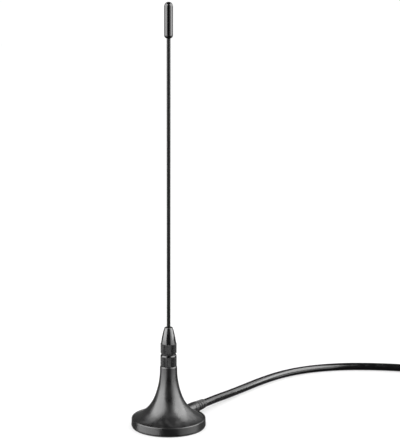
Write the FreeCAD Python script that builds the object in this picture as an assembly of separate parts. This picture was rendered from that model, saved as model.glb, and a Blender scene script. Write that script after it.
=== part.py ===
import FreeCAD, Part

import math
import os

# Whip antenna on a magnetic foot, with its coaxial lead and screw-on plug.
# Millimetres, +Z up. The origin is on the resting plane, on the mast's axis.
# The lead leaves the foot towards OUTLET_AZIMUTH, measured from +X towards +Y.

Vector = FreeCAD.Vector
UP = Vector(0, 0, 1)

# --- driving dimensions: foot ---
FOOT_RADIUS = 12.46
FOOT_EDGE = 0.25
FOOT_DRAFT = 0.1
PAD_RADIUS = 12.2
PAD_THICK = 0.4
BEAD_RADIUS = 0.33
BEAD_HEIGHT = 2.81
NECK_RADIUS = 2.872
NECK_TOP = 20.9
NECK_EDGE = 0.55
# The trumpet is two tangent arcs, steep at the neck and shallow at the rim.
STEEP_CENTRE = (29.55, 19.80)
STEEP_RADIUS = 26.68
STEEP_TURN = 0.357
SHALLOW_CENTRE = (17.02, 15.13)
SHALLOW_RADIUS = 13.30
SHALLOW_MIDDLE = 7.6
WALL = 1.2
SHELL_BORE_RADIUS = 2.15
CAVITY_RADIUS = 11.2

# --- foot internals ---
SEAT = 0.01
PAD_EDGE = 0.12
PLATE_RADIUS = 11.0
PLATE_THICK = 0.3
MAGNET_RADIUS = 7.5
MAGNET_THICK = 1.8
MAGNET_EDGE = 0.15
INSERT_SHANK_RADIUS = 2.14
INSERT_FOOT = 14.0
INSERT_GROOVES = (15.2, 17.0, 18.8)
INSERT_GROOVE_WIDE = 0.6
INSERT_GROOVE_DEEP = 0.2
SOLDER_CUP_RADIUS = 0.7
SOLDER_CUP_DEPTH = 1.6
DIELECTRIC_TOP = 12.0
SOLDER_BEAD_RADIUS = 1.1
SOLDER_BEAD_PLACE = (8.9, 3.9)
RESIN_TOP = 11.6
RESIN_GAP = 0.05
# Stripped core: distance from the mast along the outlet, and height.
CORE_ROUTE = ((8.7, 2.4), (7.5, 3.35), (5.4, 3.65), (2.4, 4.6), (0.3, 7.0), (0, 9.9))
# Braid pigtail: distance along the outlet, height, and distance to the outlet's left.
BRAID_ROUTE = ((9.15, 1.6, 0.95), (8.9, 1.35, 2.1), (8.9, 1.15, 3.4))

# --- cable outlet ---
OUTLET_AZIMUTH = 55.0
OUTLET_HEIGHT = 2.4
OUTLET_RADIUS = 2.0
OUTLET_START = 8.0
OUTLET_END = 14.3
OUTLET_EDGE = 0.3
JACKET_END = 9.6
GROMMET_SEAT = 12.2
GROMMET_PLUG_RADIUS = 1.72
GROMMET_COLLAR_WIDE = 0.7
GROMMET_TIP_RADIUS = 1.6
GROMMET_END = 21.0
GROMMET_GROOVES = (16.0, 17.4, 18.8)
GROMMET_GROOVE_WIDE = 0.6
GROMMET_GROOVE_RADIUS = 1.58

# --- mast fittings ---
KNURL_TEETH = 32
KNURL_CREST = 0.06
KNURL_ROOT = 0.03
KNURL_DEPTH = 0.11
RING_RADIUS = 2.7
RING_TOP = 24.7
RING_LIP_RADIUS = 2.67
RING_LIP_HIGH = 0.62
RING_LIP_EDGE = 0.36
WASHER_RADIUS = 2.25
FERRULE_FOOT = 25.1
FERRULE_KNURL_RADIUS = 2.67
FERRULE_KNURL_TOP = 28.5
FERRULE_FOOT_EDGE = 0.2
FERRULE_KNURL_EDGE = 0.1
CONE_FOOT_RADIUS = 2.53
CONE_MIDDLE = (2.115, 31.0)
CONE_TOP_RADIUS = 1.45
FERRULE_TOP = 33.95
CONE_EDGE = 0.35
STUD_RADIUS = 1.48
STUD_FOOT = 20.7
STUD_EDGE = 0.25
THREAD_HOLE_RADIUS = 1.52
THREAD_HOLE_FOOT = 17.6
ROD_RADIUS = 0.62
ROD_FOOT = 26.6
ROD_TOP = 137.0
ROD_EDGE = 0.15
CAP_RADIUS = 1.4
CAP_FOOT = 128.65
CAP_TOP = 140.2
CAP_FOOT_EDGE = 0.95

# --- lead ---
CABLE_RADIUS = 1.4
DIELECTRIC_RADIUS = 0.75
CORE_RADIUS = 0.24
BRAID_RADIUS = 0.4
ARC_SHARE = 0.45
# The lead over the floor, after its straight start through the outlet.
RUN_START = 24.5
RUN_ROUTE = (
    Vector(22.9, 33.4, 1.4),
    Vector(37.9, 53.2, 1.4),
    Vector(50.4, 63.3, 1.4),
    Vector(65.6, 68.3, 1.4),
    Vector(82.2, 68.0, 1.4),
    Vector(100.8, 63.5, 1.4),
    Vector(118.6, 60.0, 1.9),
)
# From the top of the coil down to the plug.
TAIL_ROUTE = (
    Vector(132.9, 46.4, 10.3),
    Vector(137.6, 39.7, 10.2),
    Vector(140.4, 32.0, 7.8),
    Vector(141.0, 23.6, 4.0),
)
COIL_CENTRE = Vector(115.5, 38.2, 0)
COIL_MIDDLE_RADIUS = 16.45
COIL_COLUMNS = 5
COIL_LAYERS = 4
COIL_CORNER = 1.2
TIE_THICK = 0.5
TIE_WIDTH = 3.2
TIE_AZIMUTHS = (-35.0, 145.0)

# --- plug, along its own axis: 0 at the mating plane, + towards the cable ---
PLUG_PLACE = Vector(141.0, 0.0, 4.0)
NUT_FLATS = 8.0
NUT_FRONT = -3.0
NUT_BACK = 5.0
NUT_EDGE = 0.45
NUT_THREAD_RADIUS = 2.86
NUT_THREAD_END = 2.1
NUT_CHAMBER_RADIUS = 3.2
NUT_CHAMBER_END = 3.9
NUT_NECK_RADIUS = 2.52
CONTACT_RADIUS = 2.29
FLANGE_RADIUS = 2.8
FLANGE_START = 2.0
FLANGE_END = 2.8
GASKET_THICK = 0.45
BODY_RADIUS = 2.47
SNAP_GROOVE = (3.2, 3.7)
SNAP_GROOVE_RADIUS = 2.2
SNAP_RING_RADIUS = 3.05
SNAP_RING_PLAY = 0.04
SNAP_RING_OPENING = 0.8
COLLAR_RADIUS = 3.15
COLLAR_START = 5.2
COLLAR_END = 8.0
COLLAR_EDGE = 0.2
STEM_RADIUS = 1.2
STEM_END = 13.6
PLUG_DIELECTRIC_RADIUS = 2.05
PLUG_DIELECTRIC_END = 6.4
PIN_RADIUS = 0.635
PIN_TIP_RADIUS = 0.46
PIN_TIP = -2.3
PIN_END = 7.2
PIN_CUP_DEPTH = 2.0
CRIMP_RADIUS = 2.1
CRIMP_START = 8.2
CRIMP_END = 14.5
CRIMP_BORE_RADIUS = 1.5
CRIMP_SQUEEZE = 0.35
CRIMP_ROUND_FRONT = 1.0
CRIMP_ROUND_BACK = 0.8
PLUG_JACKET_END = 14.7
SLEEVE_START = 10.2
SLEEVE_END = 19.6
SLEEVE_RADIUS = 2.5
SLEEVE_TAIL_RADIUS = 1.85
SLEEVE_STEP = 2.2


def at(r, z):
    """A point of a half outline: r from the axis, z along it."""
    return Vector(r, 0, z)


def solid_of_revolution(*steps):
    """Turn a closed half outline about Z. A step is a point, or a (through, end) pair for an arc."""
    edges = []
    here = steps[0]
    for step in steps[1:] + steps[:1]:
        if isinstance(step, tuple):
            through, end = step
            edges.append(Part.Arc(here, through, end).toShape())
            here = end
        else:
            edges.append(Part.LineSegment(here, step).toShape())
            here = step
    face = Part.Face(Part.Wire(edges))
    return face.revolve(Vector(0, 0, 0), UP, 360)


def ring(outer, inner, low, high):
    """A plain tube or, with inner 0, a plain disc."""
    body = Part.makeCylinder(outer, high - low, Vector(0, 0, low))
    if inner:
        body = body.cut(Part.makeCylinder(inner, high - low, Vector(0, 0, low)))
    return body


def knurled(radius, low, high):
    """A straight-knurled cylinder: V grooves with narrow flats on their crests and roots."""
    crest = KNURL_CREST / radius / 2
    root = KNURL_ROOT / radius / 2
    points = []
    for tooth in range(KNURL_TEETH):
        middle = 2 * math.pi * tooth / KNURL_TEETH
        groove = middle + math.pi / KNURL_TEETH
        outline = (
            (middle - crest, radius),
            (middle + crest, radius),
            (groove - root, radius - KNURL_DEPTH),
            (groove + root, radius - KNURL_DEPTH),
        )
        for angle, reach in outline:
            points.append(Vector(reach * math.cos(angle), reach * math.sin(angle), low))
    points.append(points[0])
    return Part.Face(Part.makePolygon(points)).extrude(UP * (high - low))


def chamfered_envelope(radius, low, high, foot_chamfer, top_chamfer):
    """The turned blank whose end chamfers cut through the knurl."""
    return solid_of_revolution(
        at(0, low),
        at(radius - foot_chamfer, low),
        at(radius, low + foot_chamfer),
        at(radius, high - top_chamfer),
        at(radius - top_chamfer, high),
        at(0, high),
    )


def tube_along(points, radius, name):
    """Sweep a round section along straight runs joined by the largest tangent arcs they allow."""
    edges = []
    radii = []
    here = points[0]
    for before, corner, after in zip(points, points[1:], points[2:]):
        run_in = Vector(corner - before).normalize()
        run_out = Vector(after - corner).normalize()
        half_turn = run_in.getAngle(run_out) / 2
        reach = ARC_SHARE * min((corner - before).Length, (after - corner).Length)
        arc_radius = reach / math.tan(half_turn)
        inward = Vector(run_out - run_in).normalize()
        middle = corner + inward * arc_radius * (1 / math.cos(half_turn) - 1)
        arc_start = corner - run_in * reach
        arc_end = corner + run_out * reach
        edges.append(Part.LineSegment(here, arc_start).toShape())
        edges.append(Part.Arc(arc_start, middle, arc_end).toShape())
        radii.append(round(arc_radius, 1))
        here = arc_end
    edges.append(Part.LineSegment(here, points[-1]).toShape())
    path = Part.Wire(edges)
    section = Part.Wire(Part.makeCircle(radius, points[0], points[1] - points[0]))
    tube = path.makePipeShell([section], True, False)
    expected = math.pi * radius ** 2 * path.Length
    print(f"{name}: arc radii {radii}, length {path.Length:.1f}, volume ratio {tube.Volume / expected:.4f}")
    return tube


def shallow_height(r, offset=0.0):
    """Height of the shallow arc at r; offset moves it inwards, as for the inside of the wall."""
    reach = SHALLOW_CENTRE[0] - r
    return SHALLOW_CENTRE[1] - math.sqrt((SHALLOW_RADIUS + offset) ** 2 - reach ** 2)


def steep_point(turn, offset=0.0):
    """Point of the steep arc after turning down from the neck by an angle in radians."""
    reach = STEEP_RADIUS + offset
    return at(STEEP_CENTRE[0] - reach * math.cos(turn), STEEP_CENTRE[1] - reach * math.sin(turn))


def towards_outlet(distance, z, sideways=0.0):
    """A point at a distance from the mast along the outlet's direction."""
    angle = math.radians(OUTLET_AZIMUTH)
    along = Vector(math.cos(angle), math.sin(angle), 0)
    across = Vector(-math.sin(angle), math.cos(angle), 0)
    return along * distance + across * sideways + UP * z


def outlet_rod(radius, start, end):
    """A round bar on the outlet's axis, between two distances from the mast."""
    foot = towards_outlet(start, OUTLET_HEIGHT)
    return Part.makeCylinder(radius, end - start, foot, towards_outlet(1, 0))


# ---------------------------------------------------------------- foot


def foot_outside():
    """The closed trumpet with its rim bead, from the resting edge to the neck's rounded top."""
    wall_top_r = FOOT_RADIUS - FOOT_DRAFT
    bead_r = wall_top_r - BEAD_RADIUS
    inner_angle = math.radians(165)
    bead_end_r = bead_r + BEAD_RADIUS * math.cos(inner_angle)
    edge = NECK_EDGE * (1 - math.cos(math.pi / 4))
    foot_edge = FOOT_EDGE * (1 - math.cos(math.pi / 4))
    return solid_of_revolution(
        at(0, PAD_THICK),
        at(FOOT_RADIUS - FOOT_EDGE, PAD_THICK),
        (at(FOOT_RADIUS - foot_edge, PAD_THICK + foot_edge), at(FOOT_RADIUS, PAD_THICK + FOOT_EDGE)),
        at(wall_top_r, BEAD_HEIGHT),
        (at(bead_r, BEAD_HEIGHT + BEAD_RADIUS), at(bead_end_r, shallow_height(bead_end_r))),
        (at(SHALLOW_MIDDLE, shallow_height(SHALLOW_MIDDLE)), steep_point(STEEP_TURN)),
        (steep_point(STEEP_TURN / 2), steep_point(0)),
        at(NECK_RADIUS, NECK_TOP - NECK_EDGE),
        (at(NECK_RADIUS - edge, NECK_TOP - edge), at(NECK_RADIUS - NECK_EDGE, NECK_TOP)),
        at(0, NECK_TOP),
    )


def cavity(gap=0.0):
    """The hollow inside the trumpet, up to the foot of the insert's bore."""
    offset = WALL + gap
    low_r = CAVITY_RADIUS - gap
    return solid_of_revolution(
        at(0, PAD_THICK),
        at(low_r, PAD_THICK),
        at(low_r, shallow_height(low_r, offset)),
        (at(SHALLOW_MIDDLE, shallow_height(SHALLOW_MIDDLE, offset)), steep_point(STEEP_TURN, offset)),
        (steep_point(0.8 * STEEP_TURN, offset), steep_point(0.6 * STEEP_TURN, offset)),
        at(0, steep_point(0.6 * STEEP_TURN, offset).z),
    )


def base_shell():
    """Moulded trumpet, hollow for the magnet and the lead's end, with a round boss at the outlet."""
    boss = outlet_rod(OUTLET_RADIUS, OUTLET_START, OUTLET_END)
    mouth = towards_outlet(OUTLET_END, OUTLET_HEIGHT)
    mouth_edges = [edge for edge in boss.Edges if (edge.CenterOfMass - mouth).Length < SEAT]
    shell = foot_outside().fuse(boss.makeFillet(OUTLET_EDGE, mouth_edges))
    shell = shell.cut(cavity())
    bore_foot = steep_point(0.6 * STEEP_TURN, WALL).z - 0.1
    shell = shell.cut(ring(SHELL_BORE_RADIUS, 0, bore_foot, NECK_TOP + 1))
    shell = shell.cut(outlet_rod(CABLE_RADIUS + 0.03, OUTLET_START - 1, OUTLET_END + 1))
    return shell.cut(outlet_rod(GROMMET_PLUG_RADIUS, GROMMET_SEAT, OUTLET_END + 1))


def base_insert():
    """Turned insert: knurled ring with a smooth lip, grooved shank, blind thread for the whip."""
    lip_low = RING_TOP - RING_LIP_HIGH
    edge = RING_LIP_EDGE * (1 - math.cos(math.pi / 4))
    lip = solid_of_revolution(
        at(0, lip_low),
        at(RING_LIP_RADIUS, lip_low),
        at(RING_LIP_RADIUS, RING_TOP - RING_LIP_EDGE),
        (at(RING_LIP_RADIUS - edge, RING_TOP - edge), at(RING_LIP_RADIUS - RING_LIP_EDGE, RING_TOP)),
        at(0, RING_TOP),
    )
    head = knurled(RING_RADIUS, NECK_TOP, lip_low).fuse(lip)
    shank = ring(INSERT_SHANK_RADIUS, 0, INSERT_FOOT, NECK_TOP)
    groove_radius = INSERT_SHANK_RADIUS - INSERT_GROOVE_DEEP
    for groove in INSERT_GROOVES:
        shank = shank.cut(ring(INSERT_SHANK_RADIUS + 1, groove_radius, groove, groove + INSERT_GROOVE_WIDE))
    body = head.fuse(shank).removeSplitter()
    body = body.cut(ring(SOLDER_CUP_RADIUS, 0, INSERT_FOOT, INSERT_FOOT + SOLDER_CUP_DEPTH))
    return body.cut(ring(THREAD_HOLE_RADIUS, 0, THREAD_HOLE_FOOT, RING_TOP))


def bottom_pad():
    """Thin soft sheet that the foot stands on."""
    return chamfered_envelope(PAD_RADIUS, 0, PAD_THICK, PAD_EDGE, SEAT)


def ground_plate():
    return ring(PLATE_RADIUS, 0, PAD_THICK, PAD_THICK + PLATE_THICK)


def magnet_disc():
    low = PAD_THICK + PLATE_THICK
    return chamfered_envelope(MAGNET_RADIUS, low, low + MAGNET_THICK, MAGNET_EDGE, MAGNET_EDGE)


def core_path():
    """The stripped core over the magnet and up the neck to the insert."""
    points = [towards_outlet(JACKET_END, OUTLET_HEIGHT)]
    points += [towards_outlet(distance, height) for distance, height in CORE_ROUTE]
    return points + [towards_outlet(0, DIELECTRIC_TOP)]


def coax_dielectric():
    return tube_along(core_path(), DIELECTRIC_RADIUS, "coax_dielectric").cut(coax_core_wire(SEAT))


def coax_core_wire(extra=0.0):
    """The inner conductor, from where the core leaves the jacket into the insert's solder cup."""
    points = core_path()
    points[-1] = towards_outlet(0, INSERT_FOOT + 1.2)
    return tube_along(points, CORE_RADIUS + extra, "coax_core_wire")


def braid_path():
    return [towards_outlet(*place) for place in BRAID_ROUTE]


def solder_bead(radius, height):
    """The ball that the bead on the ground plate is cut from."""
    distance, sideways = SOLDER_BEAD_PLACE
    return Part.makeSphere(radius, towards_outlet(distance, height, sideways))


def braid_pigtail():
    return tube_along(braid_path(), BRAID_RADIUS, "braid_pigtail")


def solder_joints():
    """The fillet in the insert's solder cup and the bead that holds the braid to the plate."""
    cup_top = INSERT_FOOT + SOLDER_CUP_DEPTH
    cup = ring(SOLDER_CUP_RADIUS - SEAT, CORE_RADIUS + SEAT, INSERT_FOOT + SEAT, cup_top)
    low = PAD_THICK + PLATE_THICK
    bead = solder_bead(SOLDER_BEAD_RADIUS, low)
    bead = bead.common(ring(FOOT_RADIUS, 0, low, low + SOLDER_BEAD_RADIUS))
    return Part.makeCompound([cup, bead.cut(braid_pigtail())])


def potting_resin():
    """Resin poured round the magnet and the stripped end of the lead."""
    low = PAD_THICK + PLATE_THICK + RESIN_GAP
    resin = cavity(RESIN_GAP).common(ring(FOOT_RADIUS, 0, low, RESIN_TOP))
    resin = resin.cut(ring(MAGNET_RADIUS + RESIN_GAP, 0, 0, low + MAGNET_THICK + RESIN_GAP))
    resin = resin.cut(outlet_rod(CABLE_RADIUS + RESIN_GAP, JACKET_END - RESIN_GAP, OUTLET_END))
    resin = resin.cut(tube_along(core_path(), DIELECTRIC_RADIUS + RESIN_GAP, "resin channel"))
    resin = resin.cut(tube_along(braid_path(), BRAID_RADIUS + RESIN_GAP, "braid channel"))
    return resin.cut(solder_bead(SOLDER_BEAD_RADIUS + RESIN_GAP, low - RESIN_GAP))


def cable_grommet():
    """Tapered strain relief: a plug in the outlet, a collar on its mouth, grooves along the taper."""
    profile = solid_of_revolution(
        at(0, GROMMET_SEAT),
        at(GROMMET_PLUG_RADIUS - SEAT, GROMMET_SEAT),
        at(GROMMET_PLUG_RADIUS - SEAT, OUTLET_END),
        at(OUTLET_RADIUS, OUTLET_END),
        at(OUTLET_RADIUS, OUTLET_END + GROMMET_COLLAR_WIDE),
        at(GROMMET_TIP_RADIUS, GROMMET_END),
        at(0, GROMMET_END),
    )
    for low in GROMMET_GROOVES:
        high = low + GROMMET_GROOVE_WIDE
        profile = profile.cut(ring(OUTLET_RADIUS, GROMMET_GROOVE_RADIUS, low, high))
    profile = profile.cut(ring(CABLE_RADIUS + 0.02, 0, GROMMET_SEAT - 1, GROMMET_END + 1))
    profile.rotate(Vector(0, 0, 0), Vector(0, 1, 0), 90)
    profile.rotate(Vector(0, 0, 0), UP, OUTLET_AZIMUTH)
    profile.translate(Vector(0, 0, OUTLET_HEIGHT))
    return profile


# ---------------------------------------------------------------- mast


def seal_washer():
    return ring(WASHER_RADIUS, STUD_RADIUS + 0.04, RING_TOP, FERRULE_FOOT)


def whip_ferrule():
    """Turned ferrule: threaded stud, straight knurl, slightly barrelled cone, socket for the rod."""
    grip = knurled(FERRULE_KNURL_RADIUS, FERRULE_FOOT, FERRULE_KNURL_TOP)
    blank = chamfered_envelope(
        FERRULE_KNURL_RADIUS, FERRULE_FOOT, FERRULE_KNURL_TOP, FERRULE_FOOT_EDGE, FERRULE_KNURL_EDGE
    )
    edge = CONE_EDGE * (1 - math.cos(math.pi / 4))
    cone = solid_of_revolution(
        at(0, FERRULE_KNURL_TOP - SEAT),
        at(CONE_FOOT_RADIUS, FERRULE_KNURL_TOP - SEAT),
        (at(*CONE_MIDDLE), at(CONE_TOP_RADIUS, FERRULE_TOP - CONE_EDGE)),
        (at(CONE_TOP_RADIUS - edge, FERRULE_TOP - edge), at(CONE_TOP_RADIUS - CONE_EDGE, FERRULE_TOP)),
        at(0, FERRULE_TOP),
    )
    stud = chamfered_envelope(STUD_RADIUS, STUD_FOOT, FERRULE_FOOT + STUD_RADIUS, STUD_EDGE, STUD_EDGE)
    body = grip.common(blank).fuse(cone).fuse(stud).removeSplitter()
    return body.cut(ring(ROD_RADIUS + SEAT, 0, ROD_FOOT, FERRULE_TOP + 1))


def whip_rod():
    return chamfered_envelope(ROD_RADIUS, ROD_FOOT, ROD_TOP, ROD_EDGE, ROD_EDGE)


def tip_cap():
    """Moulded tip: a nearly hemispherical crown and a rounded lower edge on the rod."""
    crown = math.sqrt(0.5) * CAP_RADIUS
    foot = CAP_FOOT_EDGE * (1 - math.sqrt(0.5))
    body = solid_of_revolution(
        at(0, CAP_FOOT),
        at(CAP_RADIUS - CAP_FOOT_EDGE, CAP_FOOT),
        (at(CAP_RADIUS - foot, CAP_FOOT + foot), at(CAP_RADIUS, CAP_FOOT + CAP_FOOT_EDGE)),
        at(CAP_RADIUS, CAP_TOP - CAP_RADIUS),
        (at(crown, CAP_TOP - CAP_RADIUS + crown), at(0, CAP_TOP)),
    )
    return body.cut(ring(ROD_RADIUS + SEAT, 0, CAP_FOOT - 1, ROD_TOP + SEAT))


# ---------------------------------------------------------------- lead


def cable_run():
    """From the stripped end inside the foot, over the floor, to the coil."""
    start = [towards_outlet(JACKET_END, OUTLET_HEIGHT), towards_outlet(RUN_START, OUTLET_HEIGHT)]
    return tube_along(start + list(RUN_ROUTE), CABLE_RADIUS, "cable_run")


def coil_section(grow=0.0):
    """Rounded outline of the wound turns, COIL_COLUMNS wide and COIL_LAYERS high."""
    pitch = 2 * CABLE_RADIUS
    half_wide = pitch * COIL_COLUMNS / 2 + grow
    low = TIE_THICK - grow
    high = TIE_THICK + pitch * COIL_LAYERS + grow
    left = COIL_MIDDLE_RADIUS - half_wide
    right = COIL_MIDDLE_RADIUS + half_wide
    corner = COIL_CORNER + grow
    bulge = corner * math.sqrt(0.5)
    edges = []
    corners = (
        (right - corner, low + corner, 1, -1),
        (right - corner, high - corner, 1, 1),
        (left + corner, high - corner, -1, 1),
        (left + corner, low + corner, -1, -1),
    )
    here = at(left + corner, low)
    for centre_r, centre_z, side, rise in corners:
        start = (0, rise * corner) if side * rise < 0 else (side * corner, 0)
        end = (side * corner, 0) if side * rise < 0 else (0, rise * corner)
        arc_start = at(centre_r + start[0], centre_z + start[1])
        arc_end = at(centre_r + end[0], centre_z + end[1])
        through = at(centre_r + side * bulge, centre_z + rise * bulge)
        edges.append(Part.LineSegment(here, arc_start).toShape())
        edges.append(Part.Arc(arc_start, through, arc_end).toShape())
        here = arc_end
    return Part.Wire(edges)


def cable_coil():
    """The spare lead, wound into a neat round coil."""
    coil = Part.Face(coil_section()).revolve(Vector(0, 0, 0), UP, 360)
    coil.translate(COIL_CENTRE)
    return coil


def coil_ties():
    """Two flat ties round the coil's section, which it rests on."""
    span = math.degrees(TIE_WIDTH / COIL_MIDDLE_RADIUS)
    ties = []
    for azimuth in TIE_AZIMUTHS:
        band = Part.Face(coil_section(TIE_THICK)).cut(Part.Face(coil_section()))
        tie = band.revolve(Vector(0, 0, 0), UP, span)
        tie.rotate(Vector(0, 0, 0), UP, azimuth - span / 2)
        tie.translate(COIL_CENTRE)
        ties.append(tie)
    return Part.makeCompound(ties)


def cable_tail():
    """From the top of the coil down to the plug."""
    end = PLUG_PLACE + Vector(0, PLUG_JACKET_END, 0)
    return tube_along(list(TAIL_ROUTE) + [end], CABLE_RADIUS, "cable_tail")


# ---------------------------------------------------------------- plug


def on_plug(shape):
    """Lay a shape, drawn along Z from its mating plane, on the plug's axis."""
    shape.rotate(Vector(0, 0, 0), Vector(1, 0, 0), -90)
    shape.translate(PLUG_PLACE)
    return shape


def plug_nut():
    """Hexagonal coupling nut, open at the front for the mating thread, held by the snap ring."""
    corner = NUT_FLATS / math.sqrt(3)
    points = []
    for index in range(7):
        angle = math.radians(60 * index)
        points.append(Vector(corner * math.cos(angle), corner * math.sin(angle), NUT_FRONT))
    hexagon = Part.Face(Part.makePolygon(points)).extrude(UP * (NUT_BACK - NUT_FRONT))
    nut = hexagon.common(chamfered_envelope(corner, NUT_FRONT, NUT_BACK, NUT_EDGE, NUT_EDGE))
    nut = nut.cut(ring(NUT_THREAD_RADIUS, 0, NUT_FRONT - 1, NUT_THREAD_END))
    front = Vector(0, 0, NUT_FRONT)
    nut = nut.cut(Part.makeCone(NUT_THREAD_RADIUS + NUT_EDGE, NUT_THREAD_RADIUS, NUT_EDGE, front))
    nut = nut.cut(ring(NUT_CHAMBER_RADIUS, 0, NUT_THREAD_END, NUT_CHAMBER_END))
    return on_plug(nut.cut(ring(NUT_NECK_RADIUS, 0, NUT_CHAMBER_END - 1, NUT_BACK + 1)))


def plug_body():
    """Turned outer conductor: contact sleeve, gasket shoulder, snap-ring groove, collar, crimp stem."""
    body = solid_of_revolution(
        at(0, 0),
        at(CONTACT_RADIUS - 0.1, 0),
        at(CONTACT_RADIUS, 0.1),
        at(CONTACT_RADIUS, FLANGE_START),
        at(FLANGE_RADIUS, FLANGE_START),
        at(FLANGE_RADIUS, FLANGE_END),
        at(BODY_RADIUS, FLANGE_END),
        at(BODY_RADIUS, SNAP_GROOVE[0]),
        at(SNAP_GROOVE_RADIUS, SNAP_GROOVE[0]),
        at(SNAP_GROOVE_RADIUS, SNAP_GROOVE[1]),
        at(BODY_RADIUS, SNAP_GROOVE[1]),
        at(BODY_RADIUS, COLLAR_START),
        at(COLLAR_RADIUS - COLLAR_EDGE, COLLAR_START),
        at(COLLAR_RADIUS, COLLAR_START + COLLAR_EDGE),
        at(COLLAR_RADIUS, COLLAR_END - COLLAR_EDGE),
        at(COLLAR_RADIUS - COLLAR_EDGE, COLLAR_END),
        at(STEM_RADIUS, COLLAR_END),
        at(STEM_RADIUS, STEM_END),
        at(0, STEM_END),
    )
    body = body.cut(ring(PLUG_DIELECTRIC_RADIUS, 0, 0, PLUG_DIELECTRIC_END))
    body = body.cut(ring(PIN_RADIUS + 0.2, 0, PLUG_DIELECTRIC_END, COLLAR_END - 0.5))
    return on_plug(body.cut(ring(DIELECTRIC_RADIUS + 0.02, 0, COLLAR_END - 0.6, STEM_END + 1)))


def plug_gasket():
    return on_plug(ring(FLANGE_RADIUS, CONTACT_RADIUS + SEAT, FLANGE_START - GASKET_THICK, FLANGE_START))


def plug_snap_ring():
    """Open spring ring that keeps the coupling nut on the body."""
    low, high = SNAP_GROOVE
    snap = ring(SNAP_RING_RADIUS, SNAP_GROOVE_RADIUS + SEAT, low + SNAP_RING_PLAY, high - SNAP_RING_PLAY)
    corner = Vector(0, -SNAP_RING_OPENING / 2, low)
    return on_plug(snap.cut(Part.makeBox(NUT_CHAMBER_RADIUS, SNAP_RING_OPENING, high - low, corner)))


def plug_dielectric():
    return on_plug(ring(PLUG_DIELECTRIC_RADIUS - SEAT, PIN_RADIUS + SEAT, SEAT, PLUG_DIELECTRIC_END - SEAT))


def plug_pin():
    """Centre contact: tapered tip, shoulder in the insulator, solder cup for the conductor."""
    pin = solid_of_revolution(
        at(0, PIN_TIP),
        at(0.15, PIN_TIP),
        at(PIN_TIP_RADIUS, PIN_TIP + 0.5),
        at(PIN_TIP_RADIUS, SEAT),
        at(PIN_RADIUS, SEAT),
        at(PIN_RADIUS, PIN_END),
        at(0, PIN_END),
    )
    return on_plug(pin.cut(ring(CORE_RADIUS + SEAT, 0, PIN_END - PIN_CUP_DEPTH, PIN_END + 1)))


def cable_end_core():
    """The lead's stripped insulator in the crimp stem, with its conductor in the pin's cup."""
    insulator = ring(DIELECTRIC_RADIUS, 0, COLLAR_END - 0.5, PLUG_JACKET_END)
    return on_plug(insulator.fuse(ring(CORE_RADIUS, 0, PIN_END - PIN_CUP_DEPTH + SEAT, COLLAR_END)))


def crimp_ferrule():
    """Crimped tube over the braid: round ends, flattened to a hexagon between them."""
    middle_low = CRIMP_START + CRIMP_ROUND_FRONT
    middle_high = CRIMP_END - CRIMP_ROUND_BACK
    reach = (2 * CRIMP_RADIUS - CRIMP_SQUEEZE) / math.sqrt(3)
    points = []
    for index in range(7):
        angle = math.radians(60 * index + 30)
        points.append(Vector(reach * math.cos(angle), reach * math.sin(angle), middle_low))
    pressed = Part.Face(Part.makePolygon(points)).extrude(UP * (middle_high - middle_low))
    outside = ring(CRIMP_RADIUS, 0, CRIMP_START, middle_low)
    outside = outside.fuse(ring(CRIMP_RADIUS, 0, middle_high, CRIMP_END))
    outside = outside.fuse(pressed.common(ring(CRIMP_RADIUS, 0, middle_low, middle_high)))
    bore = ring(CRIMP_BORE_RADIUS, 0, CRIMP_START - 1, CRIMP_END + 1)
    return on_plug(outside.removeSplitter().cut(bore))


def heat_shrink_sleeve():
    """Shrunk sleeve over the crimp, drawn down on to the cable."""
    inner = CRIMP_RADIUS + SEAT
    jacket = CABLE_RADIUS + 2 * SEAT
    slope_middle = at((SLEEVE_RADIUS + SLEEVE_TAIL_RADIUS) / 2 - 0.05, CRIMP_END + SLEEVE_STEP / 2)
    slope_end = at(SLEEVE_TAIL_RADIUS, CRIMP_END + SLEEVE_STEP)
    sleeve = solid_of_revolution(
        at(inner, SLEEVE_START),
        at(SLEEVE_RADIUS, SLEEVE_START),
        at(SLEEVE_RADIUS, CRIMP_END),
        (slope_middle, slope_end),
        at(SLEEVE_TAIL_RADIUS, SLEEVE_END),
        at(jacket, SLEEVE_END),
        at(jacket, CRIMP_END + SLEEVE_STEP),
        at(inner, CRIMP_END + SEAT),
    )
    return on_plug(sleeve)


NODES = (
    base_shell,
    base_insert,
    bottom_pad,
    ground_plate,
    magnet_disc,
    potting_resin,
    coax_dielectric,
    coax_core_wire,
    braid_pigtail,
    solder_joints,
    cable_grommet,
    seal_washer,
    whip_ferrule,
    whip_rod,
    tip_cap,
    cable_run,
    cable_coil,
    coil_ties,
    cable_tail,
    plug_nut,
    plug_body,
    plug_gasket,
    plug_snap_ring,
    plug_dielectric,
    plug_pin,
    cable_end_core,
    crimp_ferrule,
    heat_shrink_sleeve,
)

os.makedirs("parts", exist_ok=True)
for node in NODES:
    shape = node()
    box = shape.optimalBoundingBox()
    print(
        f"{node.__name__}: {len(shape.Solids)} solid, valid {shape.isValid()}, {shape.Volume:.2f} mm3,"
        f" x {box.XMin:.2f}..{box.XMax:.2f},"
        f" y {box.YMin:.2f}..{box.YMax:.2f},"
        f" z {box.ZMin:.2f}..{box.ZMax:.2f}"
    )
    shape.exportStep(f"parts/{node.__name__}.step")
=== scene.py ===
import math

import bmesh
import bpy
from mathutils import Matrix, Vector


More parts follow.
